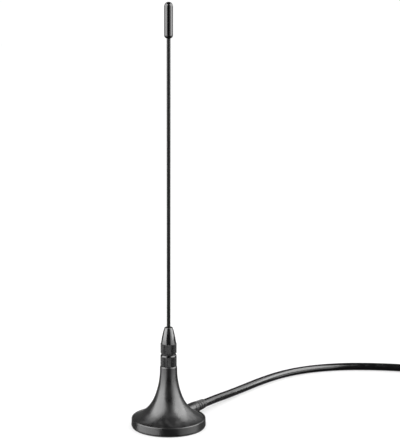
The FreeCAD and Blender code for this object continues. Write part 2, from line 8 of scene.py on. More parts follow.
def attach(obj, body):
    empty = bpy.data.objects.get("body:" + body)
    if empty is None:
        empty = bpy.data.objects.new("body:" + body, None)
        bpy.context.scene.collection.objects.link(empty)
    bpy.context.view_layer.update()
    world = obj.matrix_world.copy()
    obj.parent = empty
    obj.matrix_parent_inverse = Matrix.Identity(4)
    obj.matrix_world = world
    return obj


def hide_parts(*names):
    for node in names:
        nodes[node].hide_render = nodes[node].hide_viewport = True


# A black whip antenna on a magnetic foot, on a plain white table, with soft boxes on both sides.
# Metres, in the part's own frame: +Z up, origin under the mast.

MM = 0.001
PLUG_CENTRE = (141.0, 0.0, 4.0)

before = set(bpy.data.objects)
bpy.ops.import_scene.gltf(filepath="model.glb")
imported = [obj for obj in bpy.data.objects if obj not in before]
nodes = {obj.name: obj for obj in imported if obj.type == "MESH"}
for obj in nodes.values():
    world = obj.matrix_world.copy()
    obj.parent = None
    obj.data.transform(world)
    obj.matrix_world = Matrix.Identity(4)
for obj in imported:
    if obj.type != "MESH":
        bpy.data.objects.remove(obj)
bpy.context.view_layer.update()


# ---------------------------------------------------------------- camera

CAMERA_LENS = 108.56
CAMERA_SENSOR = 36.0
CAMERA_SHIFT = 0.0714
CAMERA_NEAR = 0.02
CAMERA_FAR = 20.0
CAMERA_BACK = 427.5 * MM
CAMERA_HIGH = 140.5 * MM
CAMERA_TIPPED = 9.38


def make_camera():
    """A long lens, 450 mm from the foot and 18.2 degrees above it, tipped down less than that."""
    data = bpy.data.cameras.new("camera")
    data.lens = CAMERA_LENS
    data.sensor_width = CAMERA_SENSOR
    data.shift_x = CAMERA_SHIFT
    data.clip_start = CAMERA_NEAR
    data.clip_end = CAMERA_FAR
    camera = bpy.data.objects.new("camera", data)
    camera.location = (0.0, -CAMERA_BACK, CAMERA_HIGH)
    camera.rotation_euler = (math.radians(90 - CAMERA_TIPPED), 0.0, 0.0)
    bpy.context.scene.collection.objects.link(camera)
    bpy.context.scene.camera = camera


# ---------------------------------------------------------------- lead

CABLE_RADIUS = 1.4 * MM
OUTLET_AZIMUTH = math.radians(55.0)
OUTLET_HEIGHT = 2.4 * MM
COIL_CENTRE = Vector((115.5, 38.2, 0.0)) * MM
COIL_MIDDLE_RADIUS = 16.45 * MM
COIL_COLUMNS = 5
COIL_LAYERS = 4
COIL_LIFT = 0.5 * MM
COIL_TURNS = 18
POINTS_PER_TURN = 16
COIL_START = math.radians(82.0)
COIL_END = math.radians(25.0)
JACKET_END = 9.6 * MM
RUN_START = 24.5 * MM
# The run along the floor to the coil, and the tail from the coil to the plug, in mm.
RUN_ROUTE = (
    (22.9, 33.4, 1.4),
    (37.9, 53.2, 1.4),
    (50.4, 63.3, 1.4),
    (65.6, 68.3, 1.4),
    (82.2, 68.0, 1.4),
    (100.8, 63.5, 1.4),
    (118.6, 60.0, 1.9),
)
TAIL_ROUTE = (
    (132.9, 46.4, 10.3),
    (137.6, 39.7, 10.2),
    (140.4, 32.0, 7.8),
    (141.0, 23.6, 4.0),
    (141.0, 14.7, 4.0),
)
# A turn steps over to the next turn's place from this share of the way round, over this share.
STEP_START = 0.62
STEP_SHARE = 0.36


def smooth(share):
    """Ease a share from 0 to 1 in and out."""
    return share * share * (3 - 2 * share)


def towards_outlet(distance, z):
    """A point at a distance from the mast along the outlet's direction, all in metres."""
    return Vector((distance * math.cos(OUTLET_AZIMUTH), distance * math.sin(OUTLET_AZIMUTH), z))


def turn_place(index):
    """Radius and height of a turn: layers from the floor up, wound inwards and outwards in turn."""
    layer, column = divmod(index, COIL_COLUMNS)
    if layer % 2 == 0:
        column = COIL_COLUMNS - 1 - column
    pitch = 2 * CABLE_RADIUS
    radius = COIL_MIDDLE_RADIUS + (column - (COIL_COLUMNS - 1) / 2) * pitch
    return radius, COIL_LIFT + pitch * (layer + 0.5)


def coil_points():
    """Clockwise turns. Each one steps to the next turn's place late in its round."""
    stretch = 1 / math.cos(math.pi / POINTS_PER_TURN)
    step = 2 * math.pi / POINTS_PER_TURN
    total = COIL_TURNS * 2 * math.pi + COIL_START - COIL_END
    points = []
    count = int(total / step)
    for index in range(1, count + 1):
        wound = index * step
        turn, part = divmod(wound / (2 * math.pi), 1.0)
        here = turn_place(int(turn))
        there = turn_place(int(turn) + 1)
        share = min(1.0, max(0.0, (part - STEP_START) / STEP_SHARE))
        share = smooth(share)
        radius = (here[0] + (there[0] - here[0]) * share) * stretch
        height = here[1] + (there[1] - here[1]) * share
        angle = COIL_START - wound
        place = Vector((radius * math.cos(angle), radius * math.sin(angle), height))
        points.append(COIL_CENTRE + place)
    return points


def lead_points():
    """The lead's control points from inside the foot, round the coil, to the plug."""
    run = [towards_outlet(JACKET_END, OUTLET_HEIGHT), towards_outlet(RUN_START, OUTLET_HEIGHT)]
    run += [Vector(point) * MM for point in RUN_ROUTE]
    tail = [Vector(point) * MM for point in TAIL_ROUTE]
    return run + coil_points() + tail


def make_lead(material):
    curve = bpy.data.curves.new("lead", "CURVE")
    curve.dimensions = "3D"
    curve.bevel_depth = CABLE_RADIUS
    curve.bevel_resolution = 8
    curve.resolution_u = 8
    curve.use_fill_caps = True
    points = lead_points()
    spline = curve.splines.new("NURBS")
    spline.points.add(len(points) - 1)
    for slot, point in zip(spline.points, points):
        slot.co = (*point, 1.0)
    spline.order_u = 3
    spline.use_endpoint_u = True
    lead = bpy.data.objects.new("lead", curve)
    bpy.context.scene.collection.objects.link(lead)
    curve.materials.append(material)
    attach(lead, "foot")
    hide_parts("cable_run", "cable_coil", "cable_tail")
    plug = [nodes[name] for name in nodes if name.startswith("plug_")]
    plug += [nodes["crimp_ferrule"], nodes["heat_shrink_sleeve"], nodes["cable_end_core"]]


# ---------------------------------------------------------------- finishes

class Skin:
    """A material under construction, with the shortcuts that the finishes below share. Sizes are in mm."""

    def __init__(self, name, colour, roughness, metallic=0.0):
        self.name = name
        self.material = bpy.data.materials.new(name)
        self.material.use_nodes = True
        self.tree = self.material.node_tree
        self.shader = self.tree.nodes["Principled BSDF"]
        self.shader.inputs["Base Color"].default_value = (*colour, 1.0)
        self.shader.inputs["Roughness"].default_value = roughness
        self.shader.inputs["Metallic"].default_value = metallic
        self.place = self.vector("SCALE", self.add("TexCoord").outputs["Object"], scale=1 / MM)

    def add(self, kind, **settings):
        node = self.tree.nodes.new("ShaderNode" + kind)
        for key, value in settings.items():
            setattr(node, key, value)
        return node

    def feed(self, socket, value):
        """Link an output to an input, or set the input to a plain value."""
        if isinstance(value, bpy.types.NodeSocket):
            self.tree.links.new(value, socket)
        else:
            socket.default_value = value

    def vector(self, operation, first, second=None, scale=None):
        node = self.add("VectorMath", operation=operation)
        self.feed(node.inputs[0], first)
        if second is not None:
            self.feed(node.inputs[1], second)
        if scale is not None:
            node.inputs["Scale"].default_value = scale
        return node.outputs["Value"] if operation == "LENGTH" else node.outputs["Vector"]

    def math(self, operation, first, second=0.0):
        node = self.add("Math", operation=operation)
        self.feed(node.inputs[0], first)
        self.feed(node.inputs[1], second)
        return node.outputs["Value"]

    def noise(self, size, detail=3.0, stretch=(1.0, 1.0, 1.0)):
        """Cloudy pattern from 0 to 1 with patches about size across, longer along stretched axes."""
        node = self.add("TexNoise")
        squeeze = tuple(1 / (size * share) for share in stretch)
        self.feed(node.inputs["Vector"], self.vector("MULTIPLY", self.place, squeeze))
        node.inputs["Scale"].default_value = 1.0
        node.inputs["Detail"].default_value = detail
        return node.outputs["Fac"]

    def between(self, value, start, end, low=0.0, high=1.0):
        """Map start..end of a value smoothly to low..high."""
        node = self.add("MapRange", interpolation_type="SMOOTHSTEP")
        self.feed(node.inputs["Value"], value)
        node.inputs["From Min"].default_value = start
        node.inputs["From Max"].default_value = end
        node.inputs["To Min"].default_value = low
        node.inputs["To Max"].default_value = high
        return node.outputs["Result"]

    def mixed(self, share, first, second, kind="FLOAT"):
        node = self.add("Mix", data_type=kind)
        names = {
            "FLOAT": ("A_Float", "B_Float", "Result_Float"),
            "RGBA": ("A_Color", "B_Color", "Result_Color"),
        }
        low, high, result = names[kind]
        sockets = {socket.identifier: socket for socket in list(node.inputs) + list(node.outputs)}
        self.feed(sockets["Factor_Float"], share)
        self.feed(sockets[low], first)
        self.feed(sockets[high], second)
        return sockets[result]

    def off_axis(self):
        """Distance from the mast's axis."""
        return self.vector("LENGTH", self.vector("MULTIPLY", self.place, (1.0, 1.0, 0.0)))

    def facing_up(self):
        """0 to 1 as the surface turns to face up."""
        normal = self.add("SeparateXYZ")
        self.feed(normal.inputs["Vector"], self.add("NewGeometry").outputs["Normal"])
        return self.between(normal.outputs["Z"], 0.6, 1.0)

    def colour(self, share, first, second):
        """Blend two colours by share."""
        blend = self.mixed(share, (*first, 1.0), (*second, 1.0), "RGBA")
        self.feed(self.shader.inputs["Base Color"], blend)

    def rough(self, value):
        self.feed(self.shader.inputs["Roughness"], value)

    def relief(self, height, depth):
        """Add a relief, depth mm from its lowest to its highest, on top of those added before."""
        bump = self.add("Bump")
        bump.inputs["Distance"].default_value = depth * MM
        bump.inputs["Strength"].default_value = 1.0
        self.feed(bump.inputs["Height"], height)
        normal = self.shader.inputs["Normal"]
        if normal.is_linked:
            self.tree.links.new(normal.links[0].from_socket, bump.inputs["Normal"])
        self.tree.links.new(bump.outputs["Normal"], normal)


BLACK = (0.004, 0.004, 0.0042)
WORN_BLACK = (0.02, 0.02, 0.021)
DUST = (0.05, 0.048, 0.045)
SOFT_BLACK = (0.012, 0.012, 0.012)
COATED_SPECULAR = 0.6
KNURLED_SPECULAR = 0.27
DRAWN_SPECULAR = 0.16
CAP_SPECULAR = 0.42


def moulded(name, colour, roughness, grain=0.3, depth=0.006, dust=0.25):
    """Moulded plastic: spark-eroded grain, patchy gloss, rubbed spots and a trace of dust on top."""
    skin = Skin(name, colour, roughness)
    patches = skin.noise(4.0)
    rubbed = skin.between(skin.noise(1.6, stretch=(1.0, 1.0, 0.4)), 0.58, 0.72)
    specks = skin.between(skin.noise(2.2, 5.0), 0.45, 0.75, 0.0, dust)
    dusty = skin.math("MULTIPLY", skin.facing_up(), specks)
    skin.colour(dusty, colour, DUST)
    gloss = skin.between(patches, 0.3, 0.7, roughness - 0.05, roughness + 0.06)
    gloss = skin.mixed(skin.math("MULTIPLY", rubbed, 0.3), gloss, roughness - 0.08)
    skin.rough(skin.math("ADD", gloss, dusty))
    skin.relief(skin.noise(grain, 2.0), depth)
    skin.relief(skin.noise(3.0, 1.0), 0.01)
    return skin


def coated_metal(name, roughness):
    """Black-finished turned metal: fine tool rings round Z and an uneven gloss."""
    skin = Skin(name, BLACK, roughness)
    skin.shader.inputs["Specular IOR Level"].default_value = COATED_SPECULAR
    skin.rough(skin.between(skin.noise(1.2), 0.3, 0.7, roughness - 0.04, roughness + 0.07))
    skin.relief(skin.noise(1.0, 2.0, (6.0, 6.0, 0.12)), 0.0015)
    return skin


def knurled_metal(name, roughness, crest):
    """The same metal where it is knurled: dull in the grooves, the coating worn along the crests."""
    skin = Skin(name, BLACK, roughness)
    skin.shader.inputs["Specular IOR Level"].default_value = KNURLED_SPECULAR
    edge = skin.between(skin.off_axis(), crest - 0.04, crest - 0.01)
    worn = skin.math("MULTIPLY", edge, skin.between(skin.noise(0.5), 0.4, 0.65))
    skin.colour(worn, BLACK, WORN_BLACK)
    gloss = skin.between(skin.noise(1.2), 0.3, 0.7, roughness - 0.04, roughness + 0.07)
    skin.rough(skin.mixed(worn, gloss, roughness + 0.1))
    skin.relief(skin.noise(0.3, 2.0, (1.0, 1.0, 3.0)), 0.004)
    return skin


def bare_metal(name, bright, dull, roughness, along, tool=0.0015):
    """Turned or plated metal: fine tool rings along an axis, faint tarnish, hairline scratches."""
    skin = Skin(name, bright, roughness, 1.0)
    rings = (6.0, 6.0, 0.1) if along == "Z" else (6.0, 0.1, 6.0)
    tarnish = skin.between(skin.noise(2.5, 3.0), 0.4, 0.9, 0.0, 0.5)
    hairs = skin.between(skin.noise(0.12, 1.0, (14.0, 1.0, 3.0)), 0.64, 0.74, 0.0, 0.5)
    skin.colour(tarnish, bright, dull)
    gloss = skin.between(skin.noise(1.6, 1.0), 0.3, 0.7, roughness - 0.03, roughness + 0.05)
    skin.rough(skin.mixed(skin.math("MAXIMUM", hairs, tarnish), gloss, roughness + 0.1))
    skin.relief(skin.noise(1.0, 2.0, rings), tool)
    skin.relief(hairs, -0.0006)
    return skin


def rubbery(name, colour, roughness, grain, depth, dust=0.5):
    """Rubber or soft vinyl: a fine pebble, soft uneven gloss, dust that clings everywhere."""
    skin = Skin(name, colour, roughness)
    cling = skin.between(skin.noise(1.1, 6.0), 0.5, 0.8, 0.0, dust * 0.3)
    up = skin.math("MULTIPLY", skin.facing_up(), dust * 0.2)
    dusty = skin.math("ADD", cling, skin.math("MULTIPLY", up, skin.noise(0.6, 4.0)))
    skin.colour(dusty, colour, DUST)
    gloss = skin.between(skin.noise(1.8), 0.3, 0.7, roughness - 0.06, roughness + 0.06)
    skin.rough(skin.math("ADD", gloss, dusty))
    skin.relief(skin.noise(grain, 2.0), depth)
    return skin


def drawn_rod(name, roughness):
    """Drawn and blacked spring steel: long die lines, small rubbed flats, slightly uneven gloss."""
    skin = Skin(name, BLACK, roughness)
    skin.shader.inputs["Specular IOR Level"].default_value = DRAWN_SPECULAR
    lines = skin.noise(0.12, 2.0, (1.0, 1.0, 60.0))
    rubbed = skin.between(skin.noise(0.5, 4.0, (1.0, 1.0, 8.0)), 0.6, 0.75)
    skin.colour(rubbed, BLACK, WORN_BLACK)
    patches = skin.noise(0.6, stretch=(1.0, 1.0, 6.0))
    gloss = skin.between(patches, 0.3, 0.7, roughness - 0.04, roughness + 0.06)
    skin.rough(skin.mixed(rubbed, gloss, roughness + 0.1))
    skin.relief(lines, 0.003)
    return skin


def dress(skin, *names):
    for name in names:
        for slot in nodes[name].material_slots:
            slot.material = skin.material


def dress_band(piece, skin, inner, low, high):
    """Give a piece's faces between two heights, and further out than inner, a finish of their own."""
    mesh = piece.data
    mesh.materials.append(skin.material)
    band = len(mesh.materials) - 1
    for face in mesh.polygons:
        centre = face.center / MM
        if low < centre.z < high and math.hypot(centre.x, centre.y) > inner:
            face.material_index = band


# ---------------------------------------------------------------- turned and wound pieces, in mm

def closed_mesh(name, points, faces, crease=30.0):
    """A smooth mesh with its faces turned outwards and its corners kept sharp past the crease angle."""
    mesh = bpy.data.meshes.new(name)
    mesh.from_pydata([Vector(point) * MM for point in points], [], faces)
    work = bmesh.new()
    work.from_mesh(mesh)
    bmesh.ops.recalc_face_normals(work, faces=work.faces)
    work.to_mesh(mesh)
    work.free()
    mesh.shade_smooth()
    mesh.set_sharp_from_angle(angle=math.radians(crease))
    return mesh


def turned(name, outline, angles, shape=None, crease=30.0):
    """Turn a half outline of (radius, z) about Z; shape(angle, radius, z) can change each radius.

    The outline starts and ends on the axis, or else it is closed on itself.
    """
    points = []
    rings = []
    for radius, z in outline:
        first = len(points)
        if radius == 0:
            points.append((0.0, 0.0, z))
            rings.append([first] * len(angles))
            continue
        for angle in angles:
            reach = shape(angle, radius, z) if shape else radius
            points.append((reach * math.cos(angle), reach * math.sin(angle), z))
        rings.append(list(range(first, len(points))))
    if outline[0][0] > 0:
        rings.append(rings[0])
    faces = []
    for low, high in zip(rings, rings[1:]):
        for here in range(len(angles)):
            there = (here + 1) % len(angles)
            corners = []
            for corner in (low[here], low[there], high[there], high[here]):
                if corner not in corners:
                    corners.append(corner)
            if len(corners) > 2:
                faces.append(corners)
    return closed_mesh(name, points, faces, crease)


def put(mesh, skin, body, *replaced):
    """Show a finished mesh in place of CAD nodes, on their body and in their material slot."""
    mesh.materials.append(skin.material)
    piece = bpy.data.objects.new(mesh.name, mesh)
    bpy.context.scene.collection.objects.link(piece)
    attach(piece, body)
    if replaced:
        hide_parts(*replaced)
    return piece


QUARTER_STEPS = 4
RING_STATIONS = 96


def rounded_ring(name, outer, inner, low, high, edge):
    """A flat ring, or with inner 0 a disc, with rounded corners."""
    corners = [(outer - edge, low + edge, -90), (outer - edge, high - edge, 0)]
    if inner:
        corners += [(inner + edge, high - edge, 90), (inner + edge, low + edge, 180)]
    outline = []
    for radius, z, start in corners:
        for step in range(QUARTER_STEPS + 1):
            turn = math.radians(start + 90 / QUARTER_STEPS * step)
            outline.append((radius + edge * math.cos(turn), z + edge * math.sin(turn)))
    if not inner:
        outline = [(0, low)] + outline + [(0, high)]
    return turned(name, outline, even_angles(RING_STATIONS))


def even_angles(count):
    return [2 * math.pi * index / count for index in range(count)]


def steps_between(low, high, step):
    count = math.ceil((high - low) / step)
    return [low + (high - low) * index / count for index in range(count + 1)]


def thread_share(angle, z, pitch):
    """Depth of a right-hand V thread from 0 on its crest to 1 in its root."""
    place = (z / pitch - angle / (2 * math.pi)) % 1.0
    return min(1.0, max(0.0, 1.25 * abs(2 * place - 1) - 0.1))


KNURL_TEETH = 32
KNURL_CREST = 0.06
KNURL_ROOT = 0.03
KNURL_DEPTH = 0.11
KNURL_RADIUS = 2.67
RING_RADIUS = 2.7
# Parts of outlines are runs of (radius, z) points.
STUD_TIP = ((0, 20.7), (1.2, 20.7))
STUD_RADIUS = 1.48
STUD_THREAD = (20.95, 24.6)
STUD_PITCH = 0.5
STUD_DEPTH = 0.27
STUD_STEPS = 8
GRIP = ((STUD_RADIUS, 25.1), (2.47, 25.1), (KNURL_RADIUS, 25.3), (KNURL_RADIUS, 28.4), (2.57, 28.5))
CONE_FOOT = 28.5
CONE_FOOT_RADIUS = 2.53
CONE_HIGH = 5.1
CONE_STEP = 0.3
CONE_LEAN = 0.166
CONE_BARREL = 0.0176
CONE_BARREL_PLACE = 2.5
CONE_LIP = ((1.424, 33.73), (1.347, 33.85), (1.234, 33.92), (1.1, 33.95))
ROD_SOCKET = ((0.66, 33.95), (0.63, 33.92), (0.63, 26.6), (0, 26.6))
FERRULE_CREASE = 18.0
RING_BAND = (RING_RADIUS - 0.15, 21.0, 24.05)
GRIP_BAND = (2.5, 25.2, 28.45)


def knurl_angles():
    """Four angles for each tooth: the two edges of its crest, and of the root after it."""
    angles = []
    for tooth in range(KNURL_TEETH):
        middle = 2 * math.pi * tooth / KNURL_TEETH
        groove = middle + math.pi / KNURL_TEETH
        crest = KNURL_CREST / KNURL_RADIUS / 2
        root = KNURL_ROOT / KNURL_RADIUS / 2
        angles += [middle - crest, middle + crest, groove - root, groove + root]
    return angles


def ferrule_shape(angle, radius, z):
    """Cut the knurl's grooves and the stud's thread."""
    if z < STUD_THREAD[1] and radius >= STUD_RADIUS:
        fade = min(1.0, (STUD_THREAD[1] - z) / STUD_PITCH)
        return radius - STUD_DEPTH * fade * thread_share(angle, z, STUD_PITCH)
    off_crest = abs((angle * KNURL_TEETH / (2 * math.pi) + 0.5) % 1.0 - 0.5)
    deep = min(1.0, max(0.0, (off_crest - 0.06) / 0.4))
    return min(radius, KNURL_RADIUS - KNURL_DEPTH * deep)


def make_ferrule(skin):
    """Threaded stud, knurled grip, barrelled cone and the socket that the rod sits in."""
    outline = list(STUD_TIP)
    outline += [(STUD_RADIUS, z) for z in steps_between(*STUD_THREAD, STUD_PITCH / STUD_STEPS)]
    outline += GRIP
    for up in steps_between(0.0, CONE_HIGH, CONE_STEP):
        barrel = CONE_BARREL * up * (up - CONE_BARREL_PLACE)
        outline.append((CONE_FOOT_RADIUS - CONE_LEAN * up - barrel, CONE_FOOT + up))
    outline += CONE_LIP + ROD_SOCKET
    mesh = turned("ferrule", outline, knurl_angles(), ferrule_shape, FERRULE_CREASE)
    return put(mesh, skin, "whip", "whip_ferrule")


NUT_FLATS = 8.0
NUT_CORNER = NUT_FLATS / math.sqrt(3)
NUT_BORE = 2.86
NUT_PITCH = 25.4 / 36
NUT_THREAD = (-2.5, 2.0)
NUT_THREAD_DEPTH = 0.28
NUT_FRONT = -3.0
NUT_BACK = 5.0
NUT_MOUTH_RADIUS = 3.31
NUT_CHAMFER_RADIUS = 4.12
NUT_CHAMFER = 0.3
NUT_CHAMFER_SHARES = (0.33, 0.66, 1.0)
NUT_SIDE = (-2.4, 4.4)
NUT_SIDE_STEP = 0.5
# The neck's edge and bore, then the chamber for the snap ring.
NUT_INSIDE = ((2.57, 5.0), (2.52, 4.95), (2.52, 3.9), (3.2, 3.9), (3.2, 2.1), (NUT_BORE, 2.1))
NUT_BORE_LENGTH = (-2.55, 2.05)
NUT_THREAD_STEPS = 10


def nut_shape(angle, radius, z):
    """Cut the hexagon's flats outside and the thread's grooves inside."""
    if radius == NUT_BORE and NUT_THREAD[0] < z < NUT_THREAD[1]:
        return radius + NUT_THREAD_DEPTH * thread_share(angle, z, NUT_PITCH)
    off_flat = angle % (math.pi / 3) - math.pi / 6
    return min(radius, NUT_FLATS / 2 / math.cos(off_flat))


def on_plug(mesh):
    """Lay a mesh, drawn along Z from the mating plane, on the plug's axis."""
    mesh.transform(Matrix.Translation(Vector(PLUG_CENTRE) * MM) @ Matrix.Rotation(-math.pi / 2, 4, "X"))
    return mesh


def make_nut(skin):
    """Coupling nut: chamfered hexagon, inch thread inside, chamber for the snap ring, neck."""
    widen = NUT_CORNER - NUT_CHAMFER_RADIUS
    outline = [(NUT_MOUTH_RADIUS, NUT_FRONT), (NUT_CHAMFER_RADIUS, NUT_FRONT)]
    for share in NUT_CHAMFER_SHARES:
        outline.append((NUT_CHAMFER_RADIUS + widen * share, NUT_FRONT + NUT_CHAMFER * share))
    outline += [(NUT_CORNER, z) for z in steps_between(*NUT_SIDE, NUT_SIDE_STEP)]
    for share in reversed(NUT_CHAMFER_SHARES):
        outline.append((NUT_CHAMFER_RADIUS + widen * share, NUT_BACK - NUT_CHAMFER * share))
    outline.append((NUT_CHAMFER_RADIUS, NUT_BACK))
    outline += NUT_INSIDE
    crests = steps_between(*NUT_BORE_LENGTH, NUT_PITCH / NUT_THREAD_STEPS)
    outline += [(NUT_BORE, z) for z in reversed(crests)]
    mesh = turned("coupling_nut", outline, even_angles(RING_STATIONS), nut_shape)
    put(on_plug(mesh), skin, "coupling_nut", "plug_nut")


SOFT_STATIONS = 72
SLEEVE_OUTSIDE_FROM = 1.8
SLEEVE_OVER_CRIMP_FROM = 2.3
SLEEVE_OVER_CRIMP = (10.4, 13.8)
SLEEVE_FLAT_RADIUS = 2.36
SLEEVE_START = ((2.11, 10.2), (2.44, 10.2), (2.5, 10.26), (2.5, 10.4))
SLEEVE_WIDE_RADIUS = 2.5
SLEEVE_WIDE = (10.6, 14.4)
SLEEVE_STEP = 0.2
SLEEVE_SHOULDER = (14.6, 16.7)
SLEEVE_SHOULDER_LENGTH = 2.1
SLEEVE_SHOULDER_STEP = 0.15
SLEEVE_SHOULDER_RADIUS = 2.48
SLEEVE_SHOULDER_DROP = 0.61
SLEEVE_NARROW_RADIUS = 1.86
SLEEVE_NARROW = (16.9, 19.3)
# The end on the lead, then the bore back to the start.
SLEEVE_END = ((1.85, 19.5), (1.8, 19.6), (1.43, 19.6), (1.43, 16.7), (2.11, 14.5))


def sleeve_shape(angle, radius, z):
    """Shrunk tight over the crimp's six flats, with slight waves where it was heated unevenly."""
    if radius < SLEEVE_OUTSIDE_FROM:
        return radius
    waves = 0.02 * math.sin(3 * angle + 1.7 * z) + 0.015 * math.sin(5 * angle - 2.3 * z)
    if SLEEVE_OVER_CRIMP[0] < z < SLEEVE_OVER_CRIMP[1] and radius > SLEEVE_OVER_CRIMP_FROM:
        off_flat = (angle - math.pi / 6) % (math.pi / 3) - math.pi / 6
        return min(radius, SLEEVE_FLAT_RADIUS / math.cos(off_flat)) + 0.3 * waves
    return radius + waves - 0.03


def make_sleeve(skin):
    """Heat-shrink sleeve from the crimp down to the lead, its cut ends square and slightly thick."""
    outline = list(SLEEVE_START)
    outline += [(SLEEVE_WIDE_RADIUS, z) for z in steps_between(*SLEEVE_WIDE, SLEEVE_STEP)]
    for z in steps_between(*SLEEVE_SHOULDER, SLEEVE_SHOULDER_STEP):
        share = (z - SLEEVE_SHOULDER[0]) / SLEEVE_SHOULDER_LENGTH
        outline.append((SLEEVE_SHOULDER_RADIUS - SLEEVE_SHOULDER_DROP * smooth(share), z))
    outline += [(SLEEVE_NARROW_RADIUS, z) for z in steps_between(*SLEEVE_NARROW, SLEEVE_STEP)]
    outline += SLEEVE_END
    mesh = turned("shrunk_sleeve", outline, even_angles(SOFT_STATIONS), sleeve_shape)
    put(on_plug(mesh), skin, "foot", "heat_shrink_sleeve")


# Outer and inner radius, low and high end, edge rounding.
PAD_RING = (12.2, 0, 0.0, 0.4, 0.12)
SEAL_RING = (2.25, 1.52, 24.7, 25.1, 0.15)
GASKET_RING = (2.8, 2.3, 1.55, 2.0, 0.14)


def make_soft_rings():
    """The pad under the foot, the whip's seal and the plug's gasket."""
    pad = rubbery("pad_rubber", (0.02, 0.02, 0.02), 0.75, 0.2, 0.02)
    put(rounded_ring("foot_pad", *PAD_RING), pad, "foot", "bottom_pad")
    nitrile = rubbery("nitrile", SOFT_BLACK, 0.55, 0.2, 0.006)
    put(rounded_ring("stud_seal", *SEAL_RING), nitrile, "stud_washer", "seal_washer")
    silicone = rubbery("silicone", (0.5, 0.06, 0.03), 0.4, 0.2, 0.002)
    put(on_plug(rounded_ring("face_gasket", *GASKET_RING)), silicone, "foot", "plug_gasket")


GROMMET_MOUTH = ((1.42, 12.2), (1.71, 12.2), (1.71, 14.3), (1.94, 14.3), (1.985, 14.33), (2.0, 14.4))
GROMMET_SIDE = (14.6, 20.7)
GROMMET_STEP = 0.1
GROMMET_RADIUS = 2.0
GROMMET_TAPER = 0.4
GROMMET_TAPER_START = 15.0
GROMMET_TAPER_LENGTH = 6.0
GROMMET_GROOVES = (16.0, 17.4, 18.8)
GROMMET_GROOVE_WIDE = 0.6
GROMMET_GROOVE_DEEP = 0.26
GROMMET_LEAST_RADIUS = 1.54
GROMMET_LIP = ((1.61, 20.85), (1.58, 20.96), (1.5, 21.0), (1.42, 20.97))


def make_grommet(skin):
    """Tapered strain relief: a plug in the outlet, a collar on its mouth, soft grooves, a thin lip."""
    outline = list(GROMMET_MOUTH)
    for z in steps_between(*GROMMET_SIDE, GROMMET_STEP):
        radius = GROMMET_RADIUS - GROMMET_TAPER * max(0.0, z - GROMMET_TAPER_START) / GROMMET_TAPER_LENGTH
        for low in GROMMET_GROOVES:
            across = (z - low) / GROMMET_GROOVE_WIDE
            if 0.0 < across < 1.0:
                radius -= GROMMET_GROOVE_DEEP * math.sin(math.pi * across) ** 0.7
        outline.append((max(radius, GROMMET_LEAST_RADIUS), z))
    outline += GROMMET_LIP
    mesh = turned("grommet", outline, even_angles(SOFT_STATIONS))
    raised = Matrix.Translation((0.0, 0.0, OUTLET_HEIGHT))
    azimuth = Matrix.Rotation(OUTLET_AZIMUTH, 4, "Z")
    mesh.transform(raised @ azimuth @ Matrix.Rotation(math.pi / 2, 4, "Y"))
    put(mesh, skin, "foot", "cable_grommet")


TIE_AZIMUTHS = (-35.0, 145.0)
TIE_RIBBON = ((-1.6, 0.1), (-1.5, 0.24), (-0.45, 0.26), (-0.25, 0.42), (0.0, 0.49), (0.25, 0.42),
              (0.45, 0.26), (1.5, 0.24), (1.6, 0.1), (1.5, 0.01), (-1.5, 0.01))
TIE_CREASE = 40.0
TWISTED_PAIR = ((-1.35, -0.1), (-1.2, -0.28), (-0.3, -0.36), (0.3, -0.36), (1.2, -0.28), (1.35, -0.1),
                (1.35, 0.1), (1.2, 0.28), (0.3, 0.36), (-0.3, 0.36), (-1.2, 0.28), (-1.35, 0.1))
TWIST_LENGTH = 11.0
TWIST_TURNS = 2.6
TWIST_STATIONS = 60
TWIST_OUT = 2.0
TWIST_SWAY = 0.8
TWIST_LIFT = 0.75
TWIST_FLATTENED = 0.55
TWIST_TAPER_START = 0.93
COIL_CORNER = 1.2
COIL_CORNER_STEPS = 6
TIE_STEP = 0.6


def bundle_outline():
    """Points and outward normals round the wound turns' rounded section, as (radius, z) in mm."""
    half_wide = COIL_COLUMNS * CABLE_RADIUS / MM
    low = COIL_LIFT / MM
    high = low + 2 * COIL_LAYERS * CABLE_RADIUS / MM
    middle = COIL_MIDDLE_RADIUS / MM
    corners = []
    for side, rise, start in ((1, 1, 0), (-1, 1, 90), (-1, -1, 180), (1, -1, 270)):
        centre = Vector((middle + side * (half_wide - COIL_CORNER), low + COIL_CORNER))
        if rise > 0:
            centre.y = high - COIL_CORNER
        for step in range(COIL_CORNER_STEPS + 1):
            turn = math.radians(start + 90 / COIL_CORNER_STEPS * step)
            normal = Vector((math.cos(turn), math.sin(turn)))
            corners.append((centre + COIL_CORNER * normal, normal))
    filled = []
    for (here, normal), (there, after) in zip(corners, corners[1:] + corners[:1]):
        count = max(1, round((there - here).length / TIE_STEP))
        for index in range(count):
            filled.append((here.lerp(there, index / count), normal.lerp(after, index / count)))
    return filled


def join_rings(rings):
    """Faces between successive rings of as many points each."""
    faces = []
    for low, high in zip(rings, rings[1:]):
        for here in range(len(low)):
            there = (here + 1) % len(low)
            faces.append((low[here], low[there], high[there], high[here]))
    return faces


